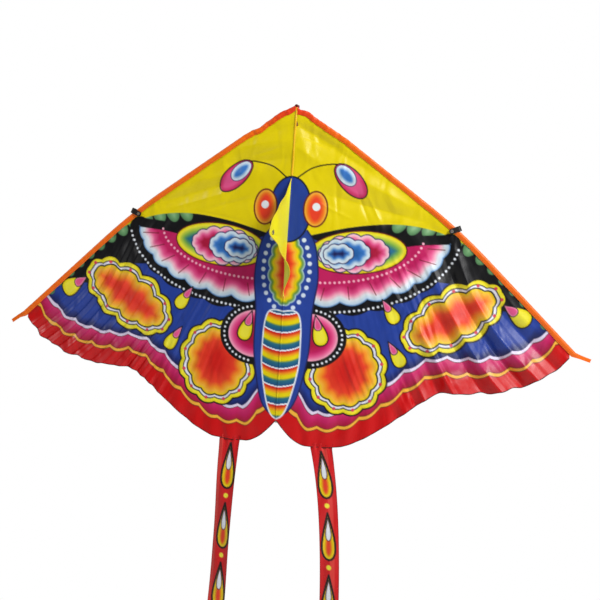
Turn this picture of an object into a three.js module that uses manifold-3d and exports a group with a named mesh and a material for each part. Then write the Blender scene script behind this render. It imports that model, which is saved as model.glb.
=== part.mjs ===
// A single-line delta kite: two printed sail halves on a fibreglass frame, a
// towing keel, a push-in spreader and two streamer tails.
// Millimetres, +Z up. The origin is the top of the nose, the front (keel side)
// faces -Y, and +X is to the right of someone who looks at the front.
// Each wing is built flat, in the plane y = 0 with its seam on the Z axis, and
// its group then sweeps it back about that axis.
import * as THREE from 'three';
import { mergeVertices } from 'three/addons/utils/BufferGeometryUtils.js';
import Module from 'manifold-3d';

const wasm = await Module();
wasm.setup();

// ---- driving dimensions ----

const SWEEP_DEG = 5;             // each wing leans back from the spine's plane
const GAP = 0.3;                 // room left between pieces that touch

// leading edge, as distances out from the seam and down from the nose
const NOSE_END = [84, 50];       // end of the soft nose, where the edge rod begins
const EDGE_BEND_IN = [222, 147.7]; // the rod is straight above this point
const EDGE_BEND = [270, 182];
const EDGE_BEND_OUT = [318, 227.1]; // and straight again below this one
const WING_TIP = [461, 362];

// trailing edge
const SAIL_CORNER = [452, 370.5];
const FORE_PULL = [[424, 410], [360, 443]]; // Bezier handles of the fore wing's hem
const NOTCH = [262, 440];        // where the fore wing's hem meets the lower lobe
const HIND_PULL = [[236, 441], [166, 520]];
const LOBE_OUT = [106, 538];
const LOBE_IN = [52, 541];
const FOOT_PULL = [[32, 541], [14, 516]];
const SPINE_FOOT = [3.2, 504];

const SAIL_T = 1.0;
const SEAM_R = 3.2;              // the sail halves begin this far from the hinge line
const BINDING_W = 9;
const BINDING_R = 3.0;
const BINDING_WALL = 0.5;
const BINDING_MOUTH = 1.4;       // half the depth of the binding at its inner edge
const SAIL_TUCK = 6.2;           // the sail begins this far inside the edge

const ROD_R = 1.5;
const CAP_R = 2.15;
const CAP_LEN = 9;
const CAP_END = 1.2;

const SLEEVE_HALF_W = 3.0;
const SLEEVE_FRONT = 2.2;
const SLEEVE_BACK = 7.6;
const SLEEVE_BORE = 2.1;
const SLEEVE_TOP = 14;
const SLEEVE_FOOT = 496;
const SPINE_Y = 4.9;
const SPINE_TOP = 5;
const SPINE_END = 505;
const SPINE_CAP_R = 2.5;

const POUCH_WALL = 0.7;          // cloth of the nose hood and the foot pocket
const HOOD_HALF_W = 4.2;
const HOOD_DEPTH = [1.3, 8.7];
const HOOD_LEN = 34;
const FLAP_HALF_W = 2.4;
const FLAP_FRONT = -1.2;
const FLAP_LEN = 3;
const POCKET_HALF_W = 6;
const POCKET_SPAN = [478, 509];
const TAPE_HALF_W = 2.0;
const TAPE_DEPTH = [-1.3, -0.6];

const SPREADER_DROP = 188;
const SPREADER_REACH = 252;      // half the rod's span
const SPREADER_MID_Y = 9.8;
const SPREADER_BOW = 19.6;       // how far its ends stand behind its middle
const SPREADER_CAP_R = 2.3;
const SPREADER_CAP_LEN = 11;

const CLIP_AT = [267.4, 181.2];  // where the strap crosses the outer edge
const CLIP_TILT_DEG = 23;
const CLIP_W = 8.5;
const CLIP_T = 1.3;
const CLIP_INNER = 15.5;          // the strap's reach inwards from the edge
const CLIP_CLEAR = 3.4;          // half the depth between its two legs
const CLIP_BEND = -0.2;
const SOCKET_X = [244, 260];
const SOCKET_HALF_H = 4.7;
const SOCKET_BACK = 11.6;
const SOCKET_STOP_X = 255.8;
const SOCKET_SLOT = 2.85;        // half the slot's height
const RIVET_AT = 11.2;
const RIVET_BORE = 0.8;
const RIVET_BARREL = 1.5;
const RIVET_FLANGE = 2.6;
const RIVET_HEAD = 0.8;

const TAB_LEN = 24;
const TAB_W = 6.5;
const TAB_T = 0.8;
const TAB_ANGLE_DEG = { left: 34, right: 17 };

const KEEL_TOP = 117;
const KEEL_FOOT = 306;
const KEEL_POINT = [86, 207];
const KEEL_ROOT = 3.6;
const KEEL_T = 0.8;
const KEEL_LEAN_DEG = 9;         // at rest the fin flops over to the left
const EYELET_AT = [72, 208];
const EYELET_BORE = 1.6;
const EYELET_BARREL = 2.3;
const EYELET_FLANGE = 3.8;
const EYELET_HEAD = 0.7;

const TAIL_SPAN = [58, 93];      // inner and outer edge where it is sewn on
const TAIL_HINGE = 542.2;
const TAIL_GAP = 1.2;
const TAIL_LEN = 460;
const TAIL_W = 31;
const TAIL_T = 0.8;
const TAIL_SETTLE = 150;         // length over which it turns to hang straight
const TAIL_DRIFT = { left: 6.5, right: 36 };
const TAIL_NARROWING = 45;

// ---- materials ----

const cloth = (color) => new THREE.MeshStandardMaterial({ color, roughness: 0.6, metalness: 0 });
const plastic = (color) => new THREE.MeshStandardMaterial({ color, roughness: 0.4, metalness: 0 });
const printedSail = cloth(0xe1d400);
const orangeTape = cloth(0xf0690f);
const tailCloth = cloth(0xd02a30);
const keelCloth = cloth(0xe6dc28);
const noseCloth = cloth(0x7a1c1e);
const pocketCloth = cloth(0xd8d6cc);
const fibreglass = plastic(0x2a2a2c);
const blackPlastic = plastic(0x121214);
const nickel = new THREE.MeshStandardMaterial({ color: 0xd4d6d8, roughness: 0.3, metalness: 0.9 });

// ---- shared helpers ----

const radians = THREE.MathUtils.degToRad;
const flat = ([out, down]) => new THREE.Vector2(out, -down);
const onWing = ([out, down], y = 0) => new THREE.Vector3(out, y, -down);

function addPart(group, name, geometry, material) {
  const mesh = new THREE.Mesh(geometry, material);
  mesh.name = name;
  group.add(mesh);
  return mesh;
}

// an outline in the X-Z plane, made solid between y = front and y = front + thickness
function plate(shape, front, thickness) {
  const solid = new THREE.ExtrudeGeometry(shape, {
    depth: thickness, bevelEnabled: false, curveSegments: 8,
  });
  solid.rotateX(Math.PI / 2);
  solid.translate(0, front + thickness, 0);
  return solid;
}

// a section swept along a path in the X-Z plane: section x runs to the front,
// section y runs inwards, away from the outer edge
function sweep(section, path, steps) {
  return new THREE.ExtrudeGeometry(section, { extrudePath: path, steps, curveSegments: 5 });
}

function block([x0, x1], [y0, y1], [z0, z1]) {
  const solid = new THREE.BoxGeometry(x1 - x0, y1 - y0, z1 - z0);
  solid.translate((x0 + x1) / 2, (y0 + y1) / 2, (z0 + z1) / 2);
  return solid;
}

function disc(radius, segments = 12) {
  const shape = new THREE.Shape();
  shape.absarc(0, 0, radius, 0, 2 * Math.PI);
  return new THREE.Shape(shape.getPoints(segments / 2));
}

function toSolid(geometry) {
  const bare = geometry.clone();
  bare.deleteAttribute('normal');
  bare.deleteAttribute('uv');
  const merged = mergeVertices(bare, 1e-4);
  return new wasm.Manifold(new wasm.Mesh({
    numProp: 3,
    vertProperties: new Float32Array(merged.attributes.position.array),
    triVerts: new Uint32Array(merged.index.array),
  }));
}

function toGeometry(solid) {
  const mesh = solid.getMesh();
  const geometry = new THREE.BufferGeometry();
  geometry.setAttribute('position', new THREE.BufferAttribute(mesh.vertProperties, 3));
  geometry.setIndex(new THREE.BufferAttribute(mesh.triVerts, 1));
  geometry.computeVertexNormals();
  return geometry;
}

// the left wing's pieces are the right wing's, reflected in the plane x = 0
function reflected(geometry) {
  const solid = geometry.index ? geometry.toNonIndexed() : geometry.clone();
  const p = solid.attributes.position;
  for (let i = 0; i < p.count; i += 3) {
    const first = [p.getX(i), p.getY(i), p.getZ(i)];
    const last = [p.getX(i + 2), p.getY(i + 2), p.getZ(i + 2)];
    p.setXYZ(i, -last[0], last[1], last[2]);
    p.setX(i + 1, -p.getX(i + 1));
    p.setXYZ(i + 2, -first[0], first[1], first[2]);
  }
  solid.computeVertexNormals();
  return solid;
}

// a cup that covers a rod's end: it opens at z = 0 and is closed at z = length
function endCup(bore, radius, length) {
  const profile = [
    [bore, 0], [radius, 0], [radius, length - 0.6], [radius - 0.6, length],
    [0, length], [0, length - CAP_END], [bore, length - CAP_END], [bore, 0],
  ];
  return new THREE.LatheGeometry(profile.map(([r, z]) => new THREE.Vector2(r, z)), 12)
    .rotateX(Math.PI / 2);
}

function flangedRing(bore, barrel, flange, fronts) {
  const [outerFront, innerFront, innerBack, outerBack] = fronts;
  const profile = [
    [bore, outerFront], [flange, outerFront], [flange, innerFront], [barrel, innerFront],
    [barrel, innerBack], [flange, innerBack], [flange, outerBack], [bore, outerBack],
    [bore, outerFront],
  ];
  return new THREE.LatheGeometry(profile.map(([r, y]) => new THREE.Vector2(r, y)), 16);
}

// turns a piece built along +Z to a direction, with its z = 0 end at a point
function aimed(geometry, at, direction) {
  const turn = new THREE.Quaternion().setFromUnitVectors(
    new THREE.Vector3(0, 0, 1), direction.clone().normalize());
  return geometry.applyQuaternion(turn).translate(at.x, at.y, at.z);
}

// ---- the leading edge ----

const leadingEdge = new THREE.CurvePath();
leadingEdge.add(new THREE.LineCurve3(onWing([0, 0]), onWing(NOSE_END)));
leadingEdge.add(new THREE.LineCurve3(onWing(NOSE_END), onWing(EDGE_BEND_IN)));
leadingEdge.add(new THREE.QuadraticBezierCurve3(
  onWing(EDGE_BEND_IN), onWing(EDGE_BEND), onWing(EDGE_BEND_OUT)));
leadingEdge.add(new THREE.LineCurve3(onWing(EDGE_BEND_OUT), onWing(WING_TIP)));
const EDGE_LENGTH = leadingEdge.getLength();
const NOSE_LENGTH = Math.hypot(...NOSE_END);

// a point of the edge's line, moved inwards, at a distance from the nose
function edgePoint(inset, distance) {
  const at = leadingEdge.getPointAt(distance / EDGE_LENGTH);
  const tangent = leadingEdge.getTangentAt(distance / EDGE_LENGTH);
  return new THREE.Vector3(at.x + tangent.z * inset, 0, at.z - tangent.x * inset);
}

function edgeLine(inset, from, to, count) {
  const points = [];
  for (let i = 0; i <= count; i++) {
    points.push(edgePoint(inset, Math.min(from + (to - from) * i / count, EDGE_LENGTH)));
  }
  return points;
}

const along = (points) => new THREE.CatmullRomCurve3(points, false, 'centripetal');

// ---- spine ----

function spineSleeve() {
  const shape = new THREE.Shape();
  const corner = 1.6;
  const middle = (SLEEVE_FRONT + SLEEVE_BACK) / 2 - SPINE_Y;
  const half = (SLEEVE_BACK - SLEEVE_FRONT) / 2;
  const side = SLEEVE_HALF_W - corner;
  const rise = half - corner;
  shape.absarc(side, middle + rise, corner, 0, Math.PI / 2);
  shape.absarc(-side, middle + rise, corner, Math.PI / 2, Math.PI);
  shape.absarc(-side, middle - rise, corner, Math.PI, 1.5 * Math.PI);
  shape.absarc(side, middle - rise, corner, 1.5 * Math.PI, 2 * Math.PI);
  shape.holes.push(disc(SLEEVE_BORE, 16));
  const solid = new THREE.ExtrudeGeometry(shape, {
    depth: SLEEVE_FOOT - SLEEVE_TOP, bevelEnabled: false, curveSegments: 4,
  });
  solid.translate(0, SPINE_Y, -SLEEVE_FOOT);
  return solid;
}

function spineRod() {
  const solid = new THREE.CylinderGeometry(ROD_R, ROD_R, SPINE_END - SPINE_TOP, 16);
  solid.rotateX(Math.PI / 2);
  solid.translate(0, SPINE_Y, -(SPINE_TOP + SPINE_END) / 2);
  return solid;
}

function spineCap(rodEnd, upwards) {
  const cup = endCup(ROD_R + GAP, SPINE_CAP_R, CAP_LEN);
  const reach = CAP_LEN - CAP_END - GAP;
  const at = new THREE.Vector3(0, SPINE_Y, -rodEnd - upwards * reach);
  return aimed(cup, at, new THREE.Vector3(0, 0, upwards));
}

// the doubled cloth over the nose: a hood on the sleeve, with a flap over the front
function noseHood() {
  const hood = toSolid(block([-HOOD_HALF_W, HOOD_HALF_W], HOOD_DEPTH, [-HOOD_LEN, 0]));
  const room = toSolid(block(
    [-SLEEVE_HALF_W - 0.4, SLEEVE_HALF_W + 0.4],
    [SLEEVE_FRONT - GAP, HOOD_DEPTH[1] - POUCH_WALL],
    [-HOOD_LEN - 1, -1]));
  const flap = toSolid(block(
    [-FLAP_HALF_W, FLAP_HALF_W], [FLAP_FRONT, HOOD_DEPTH[0] + 0.2], [-FLAP_LEN, 0]));
  return toGeometry(hood.subtract(room).add(flap));
}

function spinePocket() {
  const [top, foot] = POCKET_SPAN;
  const bag = toSolid(block([-POCKET_HALF_W, POCKET_HALF_W], HOOD_DEPTH, [-foot, -top]));
  const room = toSolid(block(
    [-SLEEVE_HALF_W - 0.4, SLEEVE_HALF_W + 0.4],
    [SLEEVE_FRONT - GAP, HOOD_DEPTH[1] - POUCH_WALL],
    [-foot + POUCH_WALL, -top + 1]));
  return toGeometry(bag.subtract(room));
}

const kite = new THREE.Group();
addPart(kite, 'spine_rod', spineRod(), fibreglass);
addPart(kite, 'spine_sleeve', spineSleeve(), orangeTape);
addPart(kite, 'spine_top_cap', spineCap(SPINE_TOP, 1), blackPlastic);
addPart(kite, 'spine_bottom_cap', spineCap(SPINE_END, -1), blackPlastic);
addPart(kite, 'nose_hood', noseHood(), noseCloth);
addPart(kite, 'spine_pocket', spinePocket(), pocketCloth);
addPart(kite, 'centre_seam_tape', block(
  [-TAPE_HALF_W, TAPE_HALF_W], TAPE_DEPTH, [-500, -FLAP_LEN - GAP - 0.4]), orangeTape);

// ---- wings ----

function curveTo(shape, [firstPull, secondPull], end) {
  shape.bezierCurveTo(...flat(firstPull), ...flat(secondPull), ...flat(end));
}

function sailPanel() {
  const shape = new THREE.Shape();
  const edge = edgeLine(SAIL_TUCK, 0, EDGE_LENGTH, 16);
  const slope = (edge[1].z - edge[0].z) / (edge[1].x - edge[0].x);
  shape.moveTo(SEAM_R, edge[0].z + slope * (SEAM_R - edge[0].x));
  for (const point of edge.slice(1)) shape.lineTo(point.x, point.z);
  shape.lineTo(...flat(SAIL_CORNER));
  curveTo(shape, FORE_PULL, NOTCH);
  curveTo(shape, HIND_PULL, LOBE_OUT);
  shape.lineTo(...flat(LOBE_IN));
  curveTo(shape, FOOT_PULL, SPINE_FOOT);
  shape.closePath();
  return plate(shape, -SAIL_T / 2, SAIL_T);
}

// folded tape: a rounded channel that holds the rod, open towards the sail
function edgeBinding() {
  const section = new THREE.Shape();
  const inner = BINDING_R - BINDING_WALL;
  const lip = BINDING_MOUTH - BINDING_WALL;
  section.moveTo(BINDING_MOUTH, BINDING_W);
  section.lineTo(BINDING_R, BINDING_R);
  section.absarc(0, BINDING_R, BINDING_R, 0, Math.PI, true);
  section.lineTo(-BINDING_MOUTH, BINDING_W);
  section.lineTo(-lip, BINDING_W);
  section.lineTo(-inner, BINDING_R);
  section.absarc(0, BINDING_R, inner, Math.PI, 0, false);
  section.lineTo(lip, BINDING_W);
  section.closePath();
  return sweep(section, along(edgeLine(0, 14.5, EDGE_LENGTH, 14)), 16);
}

const ROD_FROM = NOSE_LENGTH + 6;
const ROD_TO = EDGE_LENGTH - 6;

function edgeRod() {
  return sweep(disc(ROD_R), along(edgeLine(BINDING_R, ROD_FROM, ROD_TO, 12)), 14);
}

function edgeRodCap(distance, outwards) {
  const end = edgePoint(BINDING_R, distance);
  const direction = leadingEdge.getTangentAt(distance / EDGE_LENGTH).multiplyScalar(outwards);
  const reach = CAP_LEN - 4 - CAP_END - GAP;
  const mouth = end.clone().addScaledVector(direction, -reach);
  return aimed(endCup(ROD_R + GAP, CAP_R, CAP_LEN - 4), mouth, direction);
}

// black strap folded over the edge, with an open-backed socket for the spreader
function spreaderClip() {
  const outer = CLIP_CLEAR + CLIP_T;
  const profile = new THREE.Shape();
  profile.moveTo(-CLIP_INNER, -outer);
  profile.lineTo(CLIP_BEND, -outer);
  profile.absarc(CLIP_BEND, 0, outer, -Math.PI / 2, Math.PI / 2, false);
  profile.lineTo(-CLIP_INNER, outer);
  profile.lineTo(-CLIP_INNER, CLIP_CLEAR);
  profile.lineTo(CLIP_BEND, CLIP_CLEAR);
  profile.absarc(CLIP_BEND, 0, CLIP_CLEAR, Math.PI / 2, -Math.PI / 2, true);
  profile.lineTo(-CLIP_INNER, -CLIP_CLEAR);
  profile.closePath();
  const strap = new THREE.ExtrudeGeometry(profile, {
    depth: CLIP_W, bevelEnabled: false, curveSegments: 8,
  });
  strap.translate(0, 0, -CLIP_W / 2);

  const plan = new THREE.Shape();
  const half = CLIP_W / 2;
  plan.moveTo(2 * outer, -half);
  plan.lineTo(2 * outer, half);
  plan.lineTo(-CLIP_INNER + half, half);
  plan.absarc(-CLIP_INNER + half, 0, half, Math.PI / 2, 1.5 * Math.PI, false);
  plan.closePath();
  const rounded = plate(plan, -2 * outer, 4 * outer);
  const bore = new THREE.CylinderGeometry(RIVET_BARREL + GAP, RIVET_BARREL + GAP, 2 * outer, 16);
  bore.translate(-RIVET_AT, -outer, 0);

  let clip = toSolid(strap).intersect(toSolid(rounded)).subtract(toSolid(bore));
  const placed = placedOnEdge(toGeometry(clip));
  const socketZ = [-SPREADER_DROP - SOCKET_HALF_H, -SPREADER_DROP + SOCKET_HALF_H];
  const slotZ = [-SPREADER_DROP - SOCKET_SLOT, -SPREADER_DROP + SOCKET_SLOT];
  clip = toSolid(placed).add(toSolid(block(SOCKET_X, [CLIP_CLEAR, SOCKET_BACK], socketZ)));
  clip = clip.subtract(toSolid(block(
    [SOCKET_X[0] - 9, SOCKET_STOP_X], [outer, SOCKET_BACK + 9], slotZ)));
  return toGeometry(clip);
}

function placedOnEdge(geometry) {
  geometry.rotateY(-radians(CLIP_TILT_DEG));
  return geometry.translate(CLIP_AT[0], 0, -CLIP_AT[1]);
}

function clipRivet() {
  const face = -(CLIP_CLEAR + CLIP_T);
  const back = -CLIP_CLEAR + 0.1;
  const profile = [
    [RIVET_BORE, face - GAP - RIVET_HEAD], [RIVET_FLANGE, face - GAP - RIVET_HEAD],
    [RIVET_FLANGE, face - GAP], [RIVET_BARREL, face - GAP], [RIVET_BARREL, back],
    [RIVET_BORE, back], [RIVET_BORE, face - GAP - RIVET_HEAD],
  ];
  const ring = new THREE.LatheGeometry(profile.map(([r, y]) => new THREE.Vector2(r, y)), 16);
  ring.translate(-RIVET_AT, 0, 0);
  return placedOnEdge(ring);
}

// the loose end of the binding tape, past the tip of the wing
function tipTab(angle) {
  const shape = new THREE.Shape();
  shape.moveTo(0, -TAB_W / 2);
  shape.lineTo(TAB_LEN, -TAB_W / 2 + 1);
  shape.lineTo(TAB_LEN - 1.5, TAB_W / 2 - 0.5);
  shape.lineTo(0, TAB_W / 2);
  shape.closePath();
  const tab = plate(shape, -TAB_T / 2, TAB_T);
  tab.rotateY(radians(angle));
  const start = edgePoint(BINDING_W / 2, EDGE_LENGTH);
  return tab.translate(start.x + 4.2, 0, start.z - 1.2);
}

// streamer: sewn on at the trailing edge, it leaves at a slant and settles to hang straight
function tail(drift) {
  const shape = new THREE.Shape();
  const top = (TAIL_SPAN[0] + TAIL_SPAN[1]) / 2;
  const steps = 14;
  const sides = { inner: [], outer: [] };
  for (let i = 0; i <= steps; i++) {
    const down = TAIL_LEN * (i / steps) ** 1.6;
    const middle = top + drift * (1 - Math.exp(-down / TAIL_SETTLE));
    const spread = TAIL_SPAN[1] - TAIL_SPAN[0] - TAIL_W;
    const half = (TAIL_W + spread * Math.exp(-down / TAIL_NARROWING)) / 2;
    const z = -(TAIL_HINGE + TAIL_GAP + down);
    sides.inner.push(new THREE.Vector2(middle - half, z));
    sides.outer.unshift(new THREE.Vector2(middle + half, z));
  }
  shape.setFromPoints([...sides.inner, ...sides.outer]);
  return plate(shape, -TAIL_T / 2, TAIL_T);
}

for (const side of ['left', 'right']) {
  const wing = new THREE.Group();
  const handed = (geometry) => (side === 'left' ? reflected(geometry) : geometry);
  const add = (name, geometry, material) => (
    addPart(wing, `${side}_${name}`, handed(geometry), material));
  add('sail', sailPanel(), printedSail);
  add('edge_binding', edgeBinding(), orangeTape);
  add('edge_rod', edgeRod(), fibreglass);
  add('rod_nose_cap', edgeRodCap(ROD_FROM, -1), blackPlastic);
  add('rod_tip_cap', edgeRodCap(ROD_TO, 1), blackPlastic);
  add('spreader_clip', spreaderClip(), blackPlastic);
  add('clip_rivet', clipRivet(), nickel);
  add('tip_tab', tipTab(TAB_ANGLE_DEG[side]), orangeTape);
  add('tail', tail(TAIL_DRIFT[side]), tailCloth);
  wing.rotation.z = radians(side === 'left' ? -SWEEP_DEG : SWEEP_DEG);
  kite.add(wing);
}

// ---- keel ----

// built standing straight out to the front, along -Y, then leaned over
function keelFin() {
  const shape = new THREE.Shape();
  shape.moveTo(KEEL_ROOT, -KEEL_TOP);
  shape.quadraticCurveTo(50, -158, KEEL_POINT[0] - 3, -KEEL_POINT[1] + 7);
  shape.quadraticCurveTo(...flat(KEEL_POINT), KEEL_POINT[0] - 4, -KEEL_POINT[1] - 5);
  shape.quadraticCurveTo(42, -252, KEEL_ROOT, -KEEL_FOOT);
  shape.closePath();
  const hole = new THREE.CylinderGeometry(EYELET_BARREL + GAP, EYELET_BARREL + GAP, 9, 16);
  hole.translate(EYELET_AT[0], 0, -EYELET_AT[1]);
  return toGeometry(toSolid(plate(shape, -KEEL_T / 2, KEEL_T)).subtract(toSolid(hole)));
}

function towEyelet() {
  const face = KEEL_T / 2 + GAP;
  const head = face + EYELET_HEAD;
  const ring = flangedRing(EYELET_BORE, EYELET_BARREL, EYELET_FLANGE, [-head, -face, face, head]);
  return ring.translate(EYELET_AT[0], 0, -EYELET_AT[1]);
}

const keel = new THREE.Group();
addPart(keel, 'keel_fin', keelFin(), keelCloth);
addPart(keel, 'tow_eyelet', towEyelet(), nickel);
keel.rotation.z = radians(-90 - KEEL_LEAN_DEG);
kite.add(keel);

// ---- spreader ----

// bent by the pull of the wings against the spine, so it is straightest at its ends
function spreaderPoint(x) {
  const s = Math.abs(x) / SPREADER_REACH;
  const behind = SPREADER_BOW * (3 * s ** 2 - s ** 3) / 2;
  return new THREE.Vector3(x, SPREADER_MID_Y + behind, -SPREADER_DROP);
}

function spreaderRod() {
  const points = [];
  for (let i = -8; i <= 8; i++) points.push(spreaderPoint(SPREADER_REACH * i / 8));
  return sweep(disc(ROD_R), along(points), 20);
}

function spreaderCap(side) {
  const end = spreaderPoint(side * SPREADER_REACH);
  const direction = end.clone().sub(spreaderPoint(side * (SPREADER_REACH - 12))).normalize();
  const reach = SPREADER_CAP_LEN - CAP_END - GAP;
  const mouth = end.clone().addScaledVector(direction, -reach);
  return aimed(endCup(ROD_R + GAP, SPREADER_CAP_R, SPREADER_CAP_LEN), mouth, direction);
}

addPart(kite, 'spreader_rod', spreaderRod(), fibreglass);
addPart(kite, 'spreader_left_cap', spreaderCap(-1), blackPlastic);
addPart(kite, 'spreader_right_cap', spreaderCap(1), blackPlastic);

export default kite;
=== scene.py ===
import math

import bpy
import numpy as np
from mathutils import Matrix, Vector


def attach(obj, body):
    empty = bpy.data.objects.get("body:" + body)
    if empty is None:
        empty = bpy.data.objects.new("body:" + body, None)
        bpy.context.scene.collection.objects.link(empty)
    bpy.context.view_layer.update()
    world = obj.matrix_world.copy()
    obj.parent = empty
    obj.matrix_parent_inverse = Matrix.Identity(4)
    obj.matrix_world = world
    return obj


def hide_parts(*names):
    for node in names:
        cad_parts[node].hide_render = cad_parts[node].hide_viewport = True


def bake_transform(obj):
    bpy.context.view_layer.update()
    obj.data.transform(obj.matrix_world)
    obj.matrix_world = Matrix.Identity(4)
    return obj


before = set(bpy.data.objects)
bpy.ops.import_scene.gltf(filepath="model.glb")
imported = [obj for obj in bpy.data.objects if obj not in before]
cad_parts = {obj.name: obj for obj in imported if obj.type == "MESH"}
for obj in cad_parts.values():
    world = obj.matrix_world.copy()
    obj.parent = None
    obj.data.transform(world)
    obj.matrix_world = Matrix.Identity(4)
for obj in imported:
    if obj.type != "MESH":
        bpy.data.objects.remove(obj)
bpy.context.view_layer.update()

# ---- the kite's dimensions, in millimetres ----
# Each wing is a flat panel with its own axes: across from the seam, down from the nose, and back.

SWEEP = math.radians(5)
SIDES = {"left": -1, "right": 1}

NOSE_END = (84, 50)
EDGE_BEND_IN = (222, 147.7)
EDGE_BEND = (270, 182)
EDGE_BEND_OUT = (318, 227.1)
WING_TIP = (461, 362)
SAIL_CORNER = (452, 370.5)
NOTCH = (262, 440)
LOBE_OUT = (106, 538)
LOBE_IN = (52, 541)
SPINE_FOOT = (0, 503)

BINDING_W = 9.2
SAIL_TUCK = 5.5          # the sail begins this far inside the outer edge
CELL = 1.16              # size of a sail mesh's cells

TAB_LEN = 24
TAB_W = 6.5
TAB_SLANT = {"left": math.radians(34), "right": math.radians(17)}

KEEL_TOP = 117
KEEL_FOOT = 306
KEEL_REACH = 83
KEEL_LEAN = math.radians(9)
EYELET_AT = (72, 208)
EYELET_ROOM = 2.5

TAIL_SPAN = (58, 93)
TAIL_HINGE = 542.2
TAIL_GAP = 1.2
TAIL_LEN = 460
TAIL_W = 31
TAIL_SETTLE = 150
TAIL_NARROWING = 45
TAIL_DRIFT = {"left": 6.5, "right": 36}

# ---- the print's colours, as red, green, blue from 0 to 255 ----

YELLOW = (228, 207, 0)
LEMON = (236, 226, 60)
WHITE = (226, 232, 240)
LILAC = (222, 212, 236)
BLACK = (10, 10, 14)
NAVY = (24, 30, 84)
BLUE = (34, 62, 150)
SKY = (58, 118, 196)
TEAL = (40, 110, 130)
PALE_BLUE = (188, 212, 232)
GREEN = (98, 148, 98)
LEAF = (128, 174, 122)
RED = (200, 8, 12)
SCARLET = (228, 62, 34)
ORANGE = (238, 140, 30)
AMBER = (240, 178, 58)
MAROON = (92, 22, 26)
CRIMSON = (168, 18, 58)
MAGENTA = (190, 26, 92)
WINE = (206, 44, 108)
PINK = (226, 84, 140)
ROSE = (244, 176, 196)


def arcs(points, closed=True, steps=9):
    """A line through (across, down, bulge) points.

    Each span is an arc that stands bulge times its length to its right.
    """
    line = []
    last = len(points) if closed else len(points) - 1
    for k in range(last):
        a = np.array(points[k][:2], float)
        b = np.array(points[(k + 1) % len(points)][:2], float)
        bulge = points[k][2] if len(points[k]) > 2 else 0.0
        side = np.array([-(b - a)[1], (b - a)[0]])
        count = steps if bulge else 1
        for j in range(count):
            t = j / count
            line.append(a + (b - a) * t + side * 4 * bulge * t * (1 - t))
    if not closed:
        line.append(np.array(points[-1][:2], float))
    return np.array(line)


def flow(points, closed=False, steps=7):
    """A smooth line through the points."""
    p = np.array([q[:2] for q in points], float)
    if closed:
        p = np.vstack([p[-1], p, p[0], p[1]])
    else:
        p = np.vstack([2 * p[0] - p[1], p, 2 * p[-1] - p[-2]])
    line = []
    for k in range(1, len(p) - 2):
        for j in range(steps):
            t = j / steps
            line.append(
                0.5
                * (
                    2 * p[k]
                    + (p[k + 1] - p[k - 1]) * t
                    + (2 * p[k - 1] - 5 * p[k] + 4 * p[k + 1] - p[k + 2]) * t**2
                    + (3 * p[k] - p[k - 1] - 3 * p[k + 1] + p[k + 2]) * t**3
                )
            )
    if not closed:
        line.append(p[-2])
    return np.array(line)


def along(line, spacing):
    """Points at an even spacing along an open line."""
    step = np.hypot(*np.diff(line, axis=0).T)
    reach = np.concatenate([[0], np.cumsum(step)])
    at = np.arange(0, reach[-1] + 0.01, reach[-1] / max(1, round(reach[-1] / spacing)))
    return np.stack([np.interp(at, reach, line[:, 0]), np.interp(at, reach, line[:, 1])], 1)


def drop(root, tip, wide, steps=10):
    """A teardrop with its point at root and its round end at tip, wide across."""
    root, tip = np.array(root, float), np.array(tip, float)
    axis = tip - root
    side = np.array([-axis[1], axis[0]]) / np.hypot(*axis)
    t = np.sin(np.linspace(0, math.pi / 2, steps))
    half = t * np.sqrt(1 - t**3)
    half *= wide / 2 / half.max()
    mid = root + axis * t[:, None]
    return np.vstack([mid + side * half[:, None], (mid - side * half[:, None])[::-1][1:-1]])


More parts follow.
